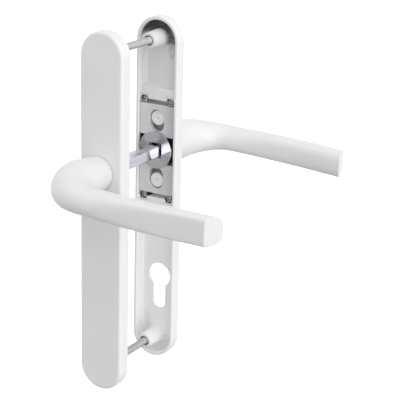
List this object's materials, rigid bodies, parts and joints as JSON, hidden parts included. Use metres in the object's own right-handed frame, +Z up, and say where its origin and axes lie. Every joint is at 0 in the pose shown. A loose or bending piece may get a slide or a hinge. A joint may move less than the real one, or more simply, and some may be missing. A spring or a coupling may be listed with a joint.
{
  "type": "lever handle set",
  "caption": "Sprung lever handle set for a door: a blank outer and a keyed inner long backplate, levers, square spindle, spring work and fixing screws.",
  "frame": {"origin": "on the spindle axis, in the middle of the door thickness", "axes": "+X along the levers, +Y from the outer plate to the inner plate, +Z up"},
  "size_m": [0.1292, 0.1928, 0.24],
  "materials": {
    "white_coating": "smooth white powder coating, soft gloss",
    "white_nylon": "moulded nylon",
    "zinc_plate": "zinc-plated pressing, fine grain",
    "polished_steel": "polished",
    "bright_steel": "bright drawn",
    "spring_wire": "drawn spring wire"
  },
  "bodies": {
    "plates": {"outer_plate": "white_coating", "inner_plate": "white_coating", "outer_bush": "white_nylon", "inner_bush": "white_nylon", "upper_fixing_screw": "bright_steel", "lower_fixing_screw": "bright_steel", "outer_upper_spring_left": "spring_wire", "outer_upper_spring_right": "spring_wire", "outer_lower_spring_left": "spring_wire", "outer_lower_spring_right": "spring_wire", "inner_upper_spring_left": "spring_wire", "inner_upper_spring_right": "spring_wire", "inner_lower_spring_left": "spring_wire", "inner_lower_spring_right": "spring_wire"},
    "inner_lever_set": {"inner_lever": "white_coating", "inner_cam": "bright_steel", "inner_retaining_disc": "polished_steel", "spindle": "bright_steel"},
    "outer_lever_set": {"outer_lever": "white_coating", "outer_cam": "bright_steel", "outer_retaining_disc": "polished_steel"},
    "outer_upper_slide_body": {"outer_upper_slide": "zinc_plate"},
    "outer_lower_slide_body": {"outer_lower_slide": "zinc_plate"},
    "inner_upper_slide_body": {"inner_upper_slide": "zinc_plate"},
    "inner_lower_slide_body": {"inner_lower_slide": "zinc_plate"}
  },
  "joints": [
    {"name": "inner_lever_turn", "type": "hinge", "parent": "plates", "child": "inner_lever_set", "pos_m": [0, 0.0366, 0], "axis": [0, 1, 0], "range_deg": [0, 35], "stiffness_Nm_per_rad": 1, "springref_deg": -28.65},
    {"name": "outer_lever_turn", "type": "hinge", "parent": "plates", "child": "outer_lever_set", "pos_m": [0, -0.0366, 0], "axis": [0, 1, 0], "range_deg": [0, 35]},
    {"name": "outer_upper_slide_travel", "type": "slide", "parent": "plates", "child": "outer_upper_slide_body", "axis": [0, 0, 1], "range_m": [0, 0.002], "deforming": ["outer_upper_spring_left", "outer_upper_spring_right"]},
    {"name": "outer_lower_slide_travel", "type": "slide", "parent": "plates", "child": "outer_lower_slide_body", "axis": [0, 0, -1], "range_m": [0, 0.002], "deforming": ["outer_lower_spring_left", "outer_lower_spring_right"]},
    {"name": "inner_upper_slide_travel", "type": "slide", "parent": "plates", "child": "inner_upper_slide_body", "axis": [0, 0, 1], "range_m": [0, 0.002], "deforming": ["inner_upper_spring_left", "inner_upper_spring_right"]},
    {"name": "inner_lower_slide_travel", "type": "slide", "parent": "plates", "child": "inner_lower_slide_body", "axis": [0, 0, -1], "range_m": [0, 0.002], "deforming": ["inner_lower_spring_left", "inner_lower_spring_right"]}
  ],
  "couplings": [
    {"joint": "outer_lever_turn", "follows": "inner_lever_turn", "ratio": 1},
    {"joint": "outer_upper_slide_travel", "follows": "inner_lever_turn", "m_per_rad": 0.003274},
    {"joint": "outer_lower_slide_travel", "follows": "inner_lever_turn", "m_per_rad": 0.003274},
    {"joint": "inner_upper_slide_travel", "follows": "inner_lever_turn", "m_per_rad": 0.003274},
    {"joint": "inner_lower_slide_travel", "follows": "inner_lever_turn", "m_per_rad": 0.003274}
  ]
}
